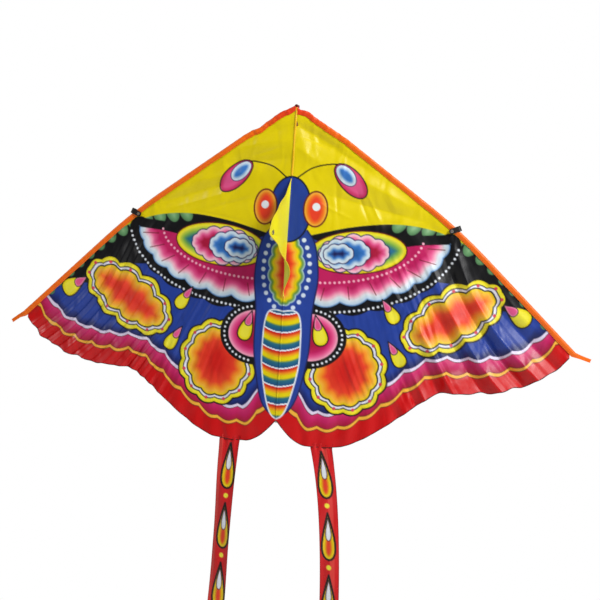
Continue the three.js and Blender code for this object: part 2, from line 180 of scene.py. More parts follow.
class Print:
    """Colours laid over one another on the points (across, down) of a cloth, in millimetres."""

    SOFT = 0.6

    def __init__(self, across, down, ground):
        self.at = np.stack([across, down], 1)
        self.rgb = np.tile(np.array(ground, float), (len(across), 1))

    def near(self, line, margin):
        low, high = line.min(0) - margin, line.max(0) + margin
        return np.nonzero(((self.at >= low) & (self.at <= high)).all(1))[0]

    def far(self, index, line, closed):
        """Distance from a line, below zero inside a closed one."""
        p = self.at[index]
        best = np.full(len(p), 1e9)
        inside = np.zeros(len(p), bool)
        ends = np.roll(line, -1, axis=0) if closed else line[1:]
        for a, b in zip(line, ends):
            ab = b - a
            size = max(ab @ ab, 1e-9)
            t = np.clip(((p - a) @ ab) / size, 0, 1)
            gap = p - a - t[:, None] * ab
            best = np.minimum(best, (gap**2).sum(1))
            if closed and a[1] != b[1]:
                crossing = (a[1] > p[:, 1]) != (b[1] > p[:, 1])
                where = a[0] + ab[0] * (p[:, 1] - a[1]) / ab[1]
                inside ^= crossing & (p[:, 0] < where)
        return np.where(inside, -1, 1) * np.sqrt(best)

    def lay(self, index, cover, colour):
        cover = np.clip(cover, 0, 1)[:, None]
        self.rgb[index] = self.rgb[index] * (1 - cover) + np.asarray(colour, float) * cover

    def fill(self, outline, colour, by=None, reach=0.0):
        """Fills an outline with a colour, or with (depth, colour) stops.

        Depth is how far in a point is, or how far it is from the line given as by.
        """
        index = self.near(outline, reach + 1)
        away = self.far(index, outline, True) - reach
        if isinstance(colour, list):
            depth = -away if by is None else self.far(index, by, False)
            stops = [s[0] for s in colour]
            channels = [np.interp(depth, stops, [s[1][c] for s in colour]) for c in range(3)]
            colour = np.stack(channels, 1)
        self.lay(index, 0.5 - away / (2 * self.SOFT), colour)

    def line(self, line, width, colour, closed=False):
        index = self.near(line, width / 2 + 1)
        away = np.abs(self.far(index, line, closed)) - width / 2
        self.lay(index, 0.5 - away / (2 * self.SOFT), colour)

    def dots(self, points, radius, colour):
        for centre in points:
            spot = np.array([centre[:2]], float)
            index = self.near(spot, radius + 1)
            away = np.hypot(*(self.at[index] - spot).T) - radius
            self.lay(index, 0.5 - away / (2 * self.SOFT), colour)

    def shape(self, outline, colour, edge=1.6, ink=BLACK):
        """A filled outline with an inked edge."""
        self.fill(outline, colour)
        self.line(outline, edge, ink, True)


# the fore wing's ovals are centred here, and the hem's scallops are this long
FORE_ROOT = (44, 196)
HEM_LOBE = 33.0
HEM_BANDS = [
    (28, RED), (29, MAROON), (30, AMBER), (33.5, AMBER), (34.5, MAROON), (35.5, CRIMSON), (45, MAGENTA),
    (53, WINE), (54, MAROON), (55, LILAC), (58.5, LILAC), (59.5, NAVY), (72, BLUE),
]
STRIPE_GAP = 28.8
STRIPES = [
    (0, WHITE), (0.07, WHITE), (0.09, RED), (0.3, ORANGE), (0.45, YELLOW), (0.6, YELLOW), (0.72, TEAL),
    (0.95, (24, 84, 130)),
]


def oval(centre, across, down, lean=0.0, begin=0, end=360, steps=40):
    """Points on an ellipse turned by lean, clockwise from begin to end in degrees from its long axis."""
    angle = np.radians(np.linspace(begin, end, steps))
    x, y = across * np.cos(angle), down * np.sin(angle)
    turn = math.radians(lean)
    return np.stack([
        centre[0] + x * math.cos(turn) - y * math.sin(turn),
        centre[1] + x * math.sin(turn) + y * math.cos(turn),
    ], 1)


def scalloped(line, bulge):
    """A line of round lobes from each point of a line to the next."""
    return arcs([(u, v, -bulge) for u, v in line], False)


def rosette(centre, across, down, lobes, lean=0.0, bulge=0.22):
    """A closed ring of equal lobes on an ellipse."""
    return scalloped(oval(centre, across, down, lean, steps=lobes + 1), bulge)


def butterfly(across, down):
    """A plain butterfly for one half of the sail; the other half is its mirror image."""
    art = Print(across, down, RED)
    everywhere = np.arange(len(across))

    # the wing's ground, in scalloped bands that follow the hem
    inwards = art.far(everywhere, TRAILING, False) + 5 * np.abs(np.sin(math.pi * across / HEM_LOBE))
    stops = [s[0] for s in HEM_BANDS]
    channels = [np.interp(inwards, stops, [s[1][c] for s in HEM_BANDS]) for c in range(3)]
    art.lay(everywhere, np.ones(len(across)), np.stack(channels, 1))
    crown = flow([(30, 207), (104, 188), (176, 180), (240, 189), (300, 217), (350, 256)])
    art.fill(np.vstack([crown, [(430, 312), (330, 304), (262, 268), (180, 262)]]), BLACK)
    verge = flow([(176, 178), (240, 186), (300, 214), (350, 252), (416, 314)])
    for leaf in along(verge, 23):
        art.fill(oval(leaf, 11, 17, 30), [(0, (78, 122, 80)), (4, GREEN), (9, LEAF)])
    art.fill(np.vstack([crown, [(350, -20), (-20, -20), (-20, 207)]]), YELLOW)

    # fore wing: a pink fan with a pale, lobed rim and a dotted black border
    rim = scalloped(oval(FORE_ROOT, 212, 116, begin=4, end=90, steps=8), 0.18)
    fore = np.vstack([rim, flow([(44, 250), (110, 238), (190, 214), (258, 206)])])
    art.fill(fore, BLACK, reach=15)
    mist = (222, 228, 234)
    blush = [(0, (70, 120, 180)), (3, PALE_BLUE), (9, mist), (14, ROSE), (20, PINK), (28, MAGENTA)]
    art.fill(fore, blush, by=rim)
    art.dots(along(oval(FORE_ROOT, 228, 131, begin=8, end=90), 7.6), 2.1, WHITE)
    art.dots(along(oval(FORE_ROOT, 172, 84, begin=8, end=86), 7.6), 2.1, ROSE)
    inner = oval(FORE_ROOT, 182, 92, begin=12, end=84, steps=7)
    outer = oval(FORE_ROOT, 208, 112, begin=10, end=86, steps=7)
    for a, b in zip(inner, outer):
        art.line(np.array([a, b]), 1.1, MAROON)

    # an eyespot of nested rosettes in the fan
    eyespot = [(0, YELLOW), (5, LEMON), (12, (130, 176, 70)), (19, TEAL), (28, (20, 92, 176))]
    art.shape(oval((112, 228), 78, 34, -6), eyespot, 1.8, MAROON)
    for centre, wide, high, lobes, stops in (
        ((106, 230), 56, 27, 14, [(0, (238, 206, 216)), (4, ROSE), (9, PINK), (16, CRIMSON)]),
        ((92, 231), 40, 22, 11, [(0, WHITE), (5, PALE_BLUE), (10, SKY), (16, (36, 96, 168))]),
        ((82, 232), 24, 14, 8, [(0, WHITE), (5, PALE_BLUE), (9, SKY), (14, NAVY)]),
    ):
        art.shape(rosette(centre, wide, high, lobes, -6), stops, 1.4, NAVY)

    # far eyespot near the tip, and one round the middle of the hind wing
    for centre, wide, high, lobes, lean in (((268, 322), 88, 42, 12, -32), ((106, 418), 62, 66, 12, 0)):
        art.shape(rosette(centre, wide, high, lobes, lean), [(0, YELLOW), (6, LEMON)], 2.2)
        art.shape(rosette(centre, wide - 8, high - 8, lobes, lean), [(0, LILAC), (4, WHITE)], 1.4)
        art.shape(rosette(centre, wide - 14, high - 13, lobes, lean),
                  [(0, YELLOW), (6, AMBER), (12, ORANGE), (20, SCARLET), (40, (206, 26, 18))], 2)
        for spot in oval(centre, wide - 4, high - 4, lean, 15, 345, lobes):
            art.dots([spot], 2.6, (206, 62, 84))

    # pink disc beside the body, in a dotted border
    art.fill(oval((44, 368), 60, 50), BLACK)
    art.fill(oval((44, 368), 46, 38), [(0, ROSE), (7, PINK), (14, MAGENTA), (24, CRIMSON)])
    art.dots(along(oval((44, 368), 53, 44, begin=-80, end=80), 7.4), 2.0, WHITE)

    # drops between the eyespots
    for root, tip, wide in (
        ((156, 300), (182, 336), 22), ((170, 366), (196, 404), 22),
        ((346, 296), (388, 322), 30), ((52, 332), (66, 380), 24),
    ):
        middle = (np.array(root) + tip) / 2
        art.shape(drop(root, tip, wide), [(0, YELLOW), (6, LEMON)], 1.8)
        art.shape(drop(root, middle, wide / 2), [(0, ROSE), (3, PINK)], 1.1)

    # body: thorax and a striped abdomen
    side = flow([(30, 198), (44, 220), (52, 272), (46, 330), (44, 400), (26, 476), (-8, 506)])
    art.fill(np.vstack([side, [(-30, 500), (-30, 198)]]), [(0, BLUE), (60, (40, 72, 158))])
    art.line(side, 2.2, NAVY)
    chest = scalloped(oval((0, 262), 27, 58, begin=-90, end=90, steps=9), 0.2)
    art.dots(along(oval((0, 262), 38, 66, begin=-62, end=66), 13), 3.6, (206, 220, 238))
    warm = [(0, PALE_BLUE), (4, (90, 140, 70)), (8, YELLOW), (13, AMBER), (20, SCARLET), (27, (176, 18, 30))]
    art.fill(np.vstack([chest, [(-8, 320), (-8, 204)]]), warm, by=chest)
    body = flow([(-8, 331), (24, 333), (30, 390), (26, 436), (11, 490), (-8, 503)])
    art.fill(body, WHITE, reach=2.4)
    index = art.near(body, 1)
    away = art.far(index, body, True)
    turn = (art.at[index, 1] + 8 * (art.at[index, 0] / 30) ** 2 - 333) / STRIPE_GAP
    part = turn - np.floor(turn)
    channels = [np.interp(part, [s[0] for s in STRIPES], [s[1][c] for s in STRIPES]) for c in range(3)]
    art.lay(index, 0.5 - away, np.stack(channels, 1))

    # head, eyes and feelers
    art.fill(oval((0, 166), 34, 52), BLUE)
    art.line(oval((0, 166), 34, 52), 2.2, BLACK, True)
    eye = oval((41, 163.5), 19, 28)
    art.shape(eye, [(0, ORANGE), (2, AMBER), (6, (236, 120, 32)), (11, SCARLET)], 2.2, MAROON)
    art.dots([(42, 160)], 6.4, WHITE)
    art.line(flow([(8, 116), (34, 98), (70, 91), (92, 98)]), 1.8, BLACK)
    club = oval((94, 116), 34, 17, 44)
    art.shape(club, [(0, (196, 34, 84)), (8, PINK)], 1.6)
    art.shape(oval((86, 108), 20, 12, 44), [(0, WHITE), (4, PALE_BLUE), (8, SKY)], 1.0, NAVY)
    return art.rgb


# ---- shared helpers ----


def ease(value, begin, end):
    """0 before begin, 1 after end, and smooth between."""
    t = np.clip((np.asarray(value, float) - begin) / (end - begin), 0, 1)
    return t * t * (3 - 2 * t)


def on_wing(side, across, down, back=0.0):
    """A wing panel's own millimetres to the kite's frame, in metres."""
    across, down, back = np.broadcast_arrays(
        np.asarray(across, float), np.asarray(down, float), np.asarray(back, float)
    )
    x = side * (across * math.cos(SWEEP) - back * math.sin(SWEEP))
    y = across * math.sin(SWEEP) + back * math.cos(SWEEP)
    return np.stack([x, y, -down], -1) / 1000


def linear(rgb):
    """Colours from 0 to 255 as shader colours."""
    c = np.clip(np.asarray(rgb, float) / 255, 0, 1)
    return np.where(c < 0.04045, c / 12.92, ((c + 0.055) / 1.055) ** 2.4)


def new_piece(name, points, faces, colours=None):
    mesh = bpy.data.meshes.new(name)
    mesh.from_pydata(np.asarray(points).tolist(), [], faces)
    mesh.polygons.foreach_set("use_smooth", [True] * len(mesh.polygons))
    if colours is not None:
        layer = mesh.color_attributes.new("print", "FLOAT_COLOR", "POINT")
        rgba = np.ones((len(colours), 4))
        rgba[:, :3] = linear(colours)
        layer.data.foreach_set("color", rgba.ravel())
    mesh.update()
    piece = bpy.data.objects.new(name, mesh)
    bpy.context.scene.collection.objects.link(piece)
    return piece


def lattice(rows, columns, wrap=False):
    """The faces of a grid of points that run along its columns first."""
    faces = []
    last = columns if wrap else columns - 1
    for i in range(rows - 1):
        for j in range(last):
            k = (j + 1) % columns
            faces.append((i * columns + j, i * columns + k, (i + 1) * columns + k, (i + 1) * columns + j))
    return faces


def tube(path, radius, sides=8):
    """Points and faces of a closed tube along a path of points, in the path's own units."""
    path = np.asarray(path, float)
    radius = np.broadcast_to(np.asarray(radius, float), len(path))
    heading = np.gradient(path, axis=0)
    heading /= np.linalg.norm(heading, axis=1)[:, None]
    first = np.cross(heading, (0.05, 1, 0.02))
    first /= np.linalg.norm(first, axis=1)[:, None]
    second = np.cross(heading, first)
    angle = np.linspace(0, 2 * math.pi, sides, endpoint=False)
    ring = first[:, None] * np.cos(angle)[:, None] + second[:, None] * np.sin(angle)[:, None]
    points = (path[:, None] + ring * radius[:, None, None]).reshape(-1, 3)
    faces = lattice(len(path), sides, True)
    faces.append(tuple(range(sides - 1, -1, -1)))
    faces.append(tuple(range(len(points) - sides, len(points))))
    return points, faces


def joined(parts):
    """Several (points, faces) as one."""
    points, faces, start = [], [], 0
    for some, their in parts:
        points.append(some)
        faces += [tuple(start + k for k in face) for face in their]
        start += len(some)
    return np.vstack(points), faces


def stitches(line, length=2.5, gap=1.3, radius=0.22):
    """A row of stitches along a line of points in metres; the sizes are in millimetres."""
    line = np.asarray(line, float)
    reach = np.concatenate([[0], np.cumsum(np.linalg.norm(np.diff(line, axis=0), axis=1))]) * 1000
    parts = []
    for start in np.arange(1, reach[-1] - length, length + gap):
        at = np.linspace(start, start + length, 4)
        path = np.stack([np.interp(at, reach, line[:, c]) for c in range(3)], 1)
        parts.append(tube(path, np.array([0.35, 1, 1, 0.35]) * radius / 1000, 6))
    return joined(parts)


# ---- the outline of a wing ----


def pull(a, b, c, d=None, steps=40):
    """A Bezier curve's points, without the last."""
    t = np.linspace(0, 1, steps, endpoint=False)[:, None]
    a, b, c = (np.array(p, float) for p in (a, b, c))
    if d is None:
        return a * (1 - t) ** 2 + 2 * b * t * (1 - t) + c * t**2
    d = np.array(d, float)
    return a * (1 - t) ** 3 + 3 * b * t * (1 - t) ** 2 + 3 * c * t**2 * (1 - t) + d * t**3


LEADING = np.vstack([
    [(0, 0), NOSE_END],
    pull(EDGE_BEND_IN, EDGE_BEND, EDGE_BEND_OUT),
    [EDGE_BEND_OUT, WING_TIP],
])
LEADING_REACH = np.concatenate([[0], np.cumsum(np.hypot(*np.diff(LEADING, axis=0).T))])
EDGE_LENGTH = LEADING_REACH[-1]

TRAILING = np.vstack([
    pull(SPINE_FOOT, (10, 516), (30, 541), LOBE_IN),
    pull(LOBE_IN, (80, 543), LOBE_OUT, steps=8),
    pull(LOBE_OUT, (166, 520), (236, 441), NOTCH),
    pull(NOTCH, (360, 443), (424, 410), SAIL_CORNER),
    [SAIL_CORNER],
])


def edge_at(distance, inset=0.0):
    """A point of the leading edge, moved inwards, at a distance from the nose."""
    distance = np.asarray(distance, float)
    u = np.interp(distance, LEADING_REACH, LEADING[:, 0])
    v = np.interp(distance, LEADING_REACH, LEADING[:, 1])
    ahead, behind = distance + 2, distance - 2
    du = np.interp(ahead, LEADING_REACH, LEADING[:, 0]) - np.interp(behind, LEADING_REACH, LEADING[:, 0])
    dv = np.interp(ahead, LEADING_REACH, LEADING[:, 1]) - np.interp(behind, LEADING_REACH, LEADING[:, 1])
    size = np.hypot(du, dv)
    return u - inset * dv / size, v + inset * du / size


def hem_down(across, side):
    """How far down the trailing edge is. The fore wing's hem hangs in shallow waves."""
    down = np.interp(across, TRAILING[:, 0], TRAILING[:, 1])
    spread = ease(across, 285, 330) * (1 - ease(across, 436, 450))
    turn = 0.0 if side > 0 else 1.9
    wave = np.sin(2 * math.pi * across / 47 + turn) + 0.5 * np.sin(2 * math.pi * across / 27 + 2 * turn)
    return down + spread * 1.7 * wave


def nose_dent(side, distance):
    """How far the soft nose's edge is pushed outwards, there being no rod in it."""
    bumps = ((30, 17, 2.4), (70, 8, -2.2)) if side < 0 else ((9, 6, -3.2), (25, 9, 1.3))
    return sum(size * np.exp(-(((distance - at) / width) ** 2)) for at, width, size in bumps)


# ---- materials ----


def shader(name, **values):
    """A new material with its shader's own sockets set, and its node tree's parts."""
    material = bpy.data.materials.new(name)
    material.use_nodes = True
    nodes, links = material.node_tree.nodes, material.node_tree.links
    bsdf = nodes["Principled BSDF"]
    for socket, value in values.items():
        bsdf.inputs[socket.replace("_", " ")].default_value = value
    return material, nodes, links, bsdf


def node(nodes, kind, **values):
    made = nodes.new(kind)
    for key, value in values.items():
        setattr(made, key, value)
    return made


def texture(nodes, links, kind, scale, detail=2.0, distortion=0.0, stretch=(1, 1, 1), turn=(0, 0, 0)):
    """A noise or wave texture in the piece's own coordinates."""
    place = node(nodes, "ShaderNodeTexCoord")
    mapping = node(nodes, "ShaderNodeMapping")
    mapping.inputs["Scale"].default_value = stretch
    mapping.inputs["Rotation"].default_value = turn
    made = node(nodes, kind)
    made.inputs["Scale"].default_value = scale
    made.inputs["Detail"].default_value = detail
    if "Distortion" in made.inputs:
        made.inputs["Distortion"].default_value = distortion
    links.new(place.outputs["Object"], mapping.inputs["Vector"])
    links.new(mapping.outputs["Vector"], made.inputs["Vector"])
    return made


def math_node(nodes, links, operation, first, second, third=None):
    made = node(nodes, "ShaderNodeMath", operation=operation)
    for slot, value in enumerate((first, second, third)):
        if value is None:
            continue
        if isinstance(value, (int, float)):
            made.inputs[slot].default_value = value
        else:
            links.new(value, made.inputs[slot])
    return made.outputs[0]


def weave(nodes, links, scale):
    """The height of a plain weave: threads across and threads down."""
    across = texture(nodes, links, "ShaderNodeTexWave", scale, 1, 0.4)
    down = texture(nodes, links, "ShaderNodeTexWave", scale, 1, 0.4)
    down.bands_direction = "Z"
    return math_node(nodes, links, "ADD", across.outputs["Fac"], down.outputs["Fac"])


def bumped(nodes, links, bsdf, layers):
    """Bumps laid over one another, each a (height, strength, distance in metres)."""
    normal = None
    for height, strength, distance in layers:
        bump = node(nodes, "ShaderNodeBump")
        bump.inputs["Strength"].default_value = strength
        bump.inputs["Distance"].default_value = distance
        links.new(height, bump.inputs["Height"])
        if normal is not None:
            links.new(normal, bump.inputs["Normal"])
        normal = bump.outputs["Normal"]
    links.new(normal, bsdf.inputs["Normal"])


def ranged(nodes, links, height, low, high):
    """A value from 0 to 1 moved to the range from low to high."""
    spread = node(nodes, "ShaderNodeMapRange")
    spread.inputs["To Min"].default_value = low
    spread.inputs["To Max"].default_value = high
    links.new(height, spread.inputs["Value"])
    return spread.outputs["Result"]


def shaded(nodes, links, colour, height, low, high):
    """A colour made darker or lighter by a height from 0 to 1."""
    factor = ranged(nodes, links, height, low, high)
    made = node(nodes, "ShaderNodeVectorMath", operation="SCALE")
    if isinstance(colour, tuple):
        made.inputs[0].default_value = tuple(linear(colour))
    else:
        links.new(colour, made.inputs[0])
    links.new(factor, made.inputs["Scale"])
    return made.outputs["Vector"]


def cloth(name, colour=None, threads=260.0, mottle=0.06, crumple=0.8, gloss=0.32):
    """Thin polyester: a plain weave, small creases and uneven dye. Without a colour it shows the print."""
    material, nodes, links, bsdf = shader(name, Specular_IOR_Level=0.36)
    if colour is None:
        colour = node(nodes, "ShaderNodeVertexColor", layer_name="print").outputs["Color"]
    dye = texture(nodes, links, "ShaderNodeTexNoise", 38, 4)
    dyed = shaded(nodes, links, colour, dye.outputs["Fac"], 1 - mottle, 1 + mottle)
    links.new(dyed, bsdf.inputs["Base Color"])
    worn = texture(nodes, links, "ShaderNodeTexNoise", 90, 3)
    roughness = ranged(nodes, links, worn.outputs["Fac"], gloss - 0.06, gloss + 0.08)
    links.new(roughness, bsdf.inputs["Roughness"])
    creases = texture(nodes, links, "ShaderNodeTexNoise", 30, 1.2, 0.8, (1, 1, 0.45), (0, 0.7, 0))
    folds = texture(nodes, links, "ShaderNodeTexNoise", 16, 2, 1.4, (1, 1, 0.7), (0, -0.5, 0))
    folds.noise_type = "RIDGED_MULTIFRACTAL"
    bumped(nodes, links, bsdf, [
        (creases.outputs["Fac"], crumple, 0.004),
        (folds.outputs["Fac"], crumple, 0.0016),
        (weave(nodes, links, threads), 0.06, 0.0002),
    ])
    return material


def plastic(name, colour, gloss=0.35, grain=420.0):
    """Moulded plastic or vinyl: a fine grain and scuffs that dull it."""
    material, nodes, links, bsdf = shader(name, Specular_IOR_Level=0.45)
    scuffs = texture(nodes, links, "ShaderNodeTexNoise", 160, 5, 0.6)
    links.new(shaded(nodes, links, colour, scuffs.outputs["Fac"], 0.75, 1.35), bsdf.inputs["Base Color"])
    roughness = ranged(nodes, links, scuffs.outputs["Fac"], gloss - 0.1, gloss + 0.2)
    links.new(roughness, bsdf.inputs["Roughness"])
    fine = texture(nodes, links, "ShaderNodeTexNoise", grain, 4)
    bumped(nodes, links, bsdf, [(fine.outputs["Fac"], 0.35, 0.0003)])
    return material


def drawn_rod(name, colour):
    """Fibreglass rod: long fibres in clear resin."""
    material, nodes, links, bsdf = shader(name, Coat_Weight=0.3, Coat_Roughness=0.15, Specular_IOR_Level=0.5)
    fibres = texture(nodes, links, "ShaderNodeTexNoise", 300, 5, 0.2, (1, 1, 0.03))
    links.new(shaded(nodes, links, colour, fibres.outputs["Fac"], 0.6, 1.5), bsdf.inputs["Base Color"])
    links.new(ranged(nodes, links, fibres.outputs["Fac"], 0.25, 0.5), bsdf.inputs["Roughness"])
    bumped(nodes, links, bsdf, [(fibres.outputs["Fac"], 0.3, 0.0002)])
    return material


def plated(name, colour):
    """Nickel plate with small tarnished spots."""
    material, nodes, links, bsdf = shader(name, Metallic=1.0)
    spots = texture(nodes, links, "ShaderNodeTexNoise", 500, 5)
    links.new(shaded(nodes, links, colour, spots.outputs["Fac"], 0.82, 1.12), bsdf.inputs["Base Color"])
    links.new(ranged(nodes, links, spots.outputs["Fac"], 0.18, 0.42), bsdf.inputs["Roughness"])
    bumped(nodes, links, bsdf, [(spots.outputs["Fac"], 0.2, 0.0001)])
    return material


PRINTED = cloth("printed_cloth", crumple=0.9, gloss=0.36)
BINDING = cloth("binding_cloth", None, 420, 0.08, 0.5, 0.42)
TAPE = cloth("orange_tape_cloth", (238, 98, 8), 420, 0.08, 0.5, 0.42)
HEM = cloth("hem_cloth", (84, 12, 16), 420, 0.12, 0.4, 0.5)
NOSE_CLOTH = cloth("nose_cloth", (104, 16, 18), 360, 0.12, 0.5, 0.5)
POCKET_CLOTH = cloth("pocket_cloth", (206, 204, 192), 320, 0.08, 0.5, 0.5)
KEEL_CLOTH = cloth("keel_cloth", None, 300, 0.05, 0.4, 0.42)
THREAD = cloth("thread", (196, 70, 14), 900, 0.15, 0.2, 0.6)
YELLOW_THREAD = cloth("yellow_thread", (206, 186, 30), 900, 0.15, 0.2, 0.6)
ROD = drawn_rod("fibreglass_rod", (44, 44, 46))
CAPS = plastic("cap_plastic", (17, 16, 17), 0.38)
STRAP = plastic("strap_vinyl", (24, 16, 15), 0.42, 260)
NICKEL = plated("nickel_plate", (222, 222, 218))


# ---- sails ----


def smooth_wave(across, down, scale, seed):
    """A slow, irregular wave from -1 to 1."""
    a = np.sin(across / scale + 1.7 * seed) * np.cos(down / (0.8 * scale) + seed)
    b = np.sin((across * 0.6 - down) / (0.57 * scale) + 2.3 * seed)
    return 0.6 * a + 0.4 * b


def pleat(turn):
    """A wave of flat faces with soft ridges, from -1 to 1, the rising face wider than the falling one."""
    skewed = 2 * math.pi * turn - 0.35 * np.sin(2 * math.pi * turn)
    return np.arcsin(0.97 * np.sin(skewed)) / 1.33


# Each crease: its two ends on the panel, its width, and how far behind the panel its middle is.
CREASES = {
    "left": [
        ((0, 84), (118, 98), 11, 3.8), ((88, 122), (232, 168), 12, 4.4), ((4, 54), (112, 74), 10, -2.8),
        ((50, 104), (180, 130), 8, -1.8), ((2, 30), (60, 52), 8, 1.8), ((30, 142), (120, 172), 9, 1.6),
        ((10, 20), (36, 38), 3, -1.2), ((66, 150), (150, 176), 3, 0.9), ((96, 140), (200, 172), 3, -1.0),
        ((80, 118), (120, 178), 3, 0.8), ((70, 190), (160, 176), 3, 0.7), ((14, 66), (70, 84), 3, 0.9),
    ],
    "right": [
        ((-4, 28), (80, 70), 13, 6.0), ((36, 82), (200, 154), 14, -4.4), ((52, 138), (222, 176), 11, 4.4),
        ((-2, 62), (54, 98), 9, -2.4), ((150, 178), (254, 186), 5, 1.2), ((60, 64), (132, 104), 8, 2.2),
        ((104, 128), (128, 182), 3, 1.2), ((114, 122), (146, 180), 3, -1.1), ((70, 112), (76, 176), 3, 0.8),
        ((60, 196), (200, 172), 4, 0.9), ((36, 150), (100, 176), 3, -0.9), ((8, 48), (64, 66), 3, 1.0),
    ],
}

# The pleats of a wing at the hem: where one facet's middle is, their spacing, where they begin to crowd
# together towards the seam, and how deep they are.
PLEAT_AT = {"left": 300, "right": 362}
PLEAT_GAP = {"left": 40, "right": 80}
PLEAT_NOTCH = 270
PLEAT_DEPTH = {"left": 3.8, "right": 8.2}
HEM_LEVEL = 420


def sail_back(side_name, across, down):
    """How far behind its flat panel each point of a sail is, in millimetres."""
    side = SIDES[side_name]
    top = np.interp(across, LEADING[:, 0], LEADING[:, 1])
    foot = np.interp(across, TRAILING[:, 0], TRAILING[:, 1])
    below = (down - top) * 0.8
    part = np.clip((down - top) / (foot - top), 0, 1)
    back = 2.2 * np.sin(math.pi * part) * ease(across, 5, 60) * (1 - 0.5 * ease(across, 200, 400))
    slack = smooth_wave(across, down, 26, 1.0 if side > 0 else 2.2)
    back += 0.8 * slack * ease(below, 8, 40) * ease(across, 4, 30)
    at = np.stack([across, down], -1)
    for a, b, width, height in CREASES[side_name]:
        a, b = np.array(a, float), np.array(b, float)
        t = np.clip(((at - a) @ (b - a)) / ((b - a) @ (b - a)), 0, 1)
        away = np.linalg.norm(at - a - t[..., None] * (b - a), axis=-1)
        back += height * np.exp(-((away / width) ** 1.5)) * np.sin(math.pi * np.clip(t, 0.01, 0.99)) ** 0.6
    back *= ease(below, 3, 26)

    line = across - (0.66 + 0.5 * ease(across, 230, 390)) * (down - HEM_LEVEL)
    line += 4 * np.sin(down / 37 + side) + 3 * np.sin(line / 31 + side)
    turn = (line - PLEAT_AT[side_name] + 0.7 * np.minimum(line - PLEAT_NOTCH, 0)) / PLEAT_GAP[side_name]
    grow = ease(across, 150, 285) * ease(below, 2, 62) * (0.55 + 0.45 * part)
    back += PLEAT_DEPTH[side_name] * grow * (pleat(turn) + 0.045 * pleat(3.3 * turn + 0.2))

    line = across - 0.42 * (down - 300) + 3 * np.sin(down / 31 + side)
    drawn = ease(across, 60, 130) * (1 - ease(across, 215, 275))
    drawn = drawn * ease(down, 205, 270) * (1 - ease(down, 430, 500))
    drawn = drawn * (0.6 + 0.4 * np.sin(across / 37 - down / 51 + side))
    back += drawn * (0.95 * pleat(line / 27 + 0.3 * side) + 0.5 * pleat(line / 11.3))
    flutter = np.sin(2 * math.pi * across / 31 + (0.3 if side > 0 else 1.9)) * ease(part, 0.72, 1)
    back += 1.1 * flutter * ease(across, 20, 60) * (1 - ease(across, 200, 260))
    return back


def sail_mesh(side_name):
    """Columns of points from the leading edge to the hem, on one grid of rows, and the faces between."""
    side = SIDES[side_name]
    columns, starts, across, down, count = [], [], [], [], 0
    last = SAIL_CORNER[0]
    for u in np.linspace(0, last, round(last / CELL) + 1):
        edge = np.interp(u, LEADING[:, 0], LEADING[:, 1])
        top = edge + SAIL_TUCK * 1.15 - nose_dent(side, math.hypot(u, u * 0.6))
        foot = float(hem_down(u, side))
        rows = np.arange(math.ceil(top / CELL + 0.5), math.floor(foot / CELL - 0.5) + 1) * CELL
        column = np.concatenate([[top], rows, [foot]])
        columns.append(column)
        starts.append(count)
        across.append(np.full(len(column), u))
        down.append(column)
        count += len(column)
    faces = []
    for i in range(len(columns) - 1):
        a, b = columns[i], columns[i + 1]
        j = k = 0
        while j < len(a) - 1 or k < len(b) - 1:
            here, there = starts[i] + j, starts[i + 1] + k
            more_a, more_b = j < len(a) - 1, k < len(b) - 1
            if more_a and more_b and abs(a[j] - b[k]) < CELL and abs(a[j + 1] - b[k + 1]) < 0.4 * CELL:
                faces.append((here, here + 1, there + 1, there))
                j, k = j + 1, k + 1
            elif more_a and (not more_b or a[j + 1] <= b[k + 1]):
                faces.append((here, here + 1, there))
                j += 1
            else:
                faces.append((here, there + 1, there))
                k += 1
    if side < 0:
        faces = [face[::-1] for face in faces]
    return np.concatenate(across), np.concatenate(down), faces


for side_name, side in SIDES.items():
    across, down, faces = sail_mesh(side_name)
    colours = butterfly(across, down)
    sail = new_piece(
        f"{side_name}_sail_cloth",
        on_wing(side, across, down, sail_back(side_name, across, down)),
        faces,
        colours,
    )
    sail.data.materials.append(PRINTED)
    inner = on_wing(side, 1.0, 250)
    outer = on_wing(side, 9.0, 250)
    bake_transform(sail)
    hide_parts(f"{side_name}_sail")

    # rolled hem along the trailing edge
    at = np.linspace(1.5, SAIL_CORNER[0] - 0.4, 420)
    foot = hem_down(at, side) - 0.3
    path = on_wing(side, at, foot, sail_back(side_name, at, foot)) * 1000
    points, faces = tube(path, 0.62 + 0.12 * np.sin(at / 3.1), 6)
    hem = new_piece(f"{side_name}_rolled_hem", points / 1000, faces)
    hem.data.materials.append(HEM)
    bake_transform(hem)


# ---- binding tape along the leading edges, with its loose end past each tip ----

BINDING_STEP = 1.6
BINDING_FADE = {"left": (10, 90), "right": (0, 90)}
TAB_START = (462.1, 366.5)
SEAM_INSET = 7.4  # the row of stitches, from the outer edge
TAPE_CLEAR = 0.9  # the two tapes stay this far from the hinge line, so they miss each other in a fold


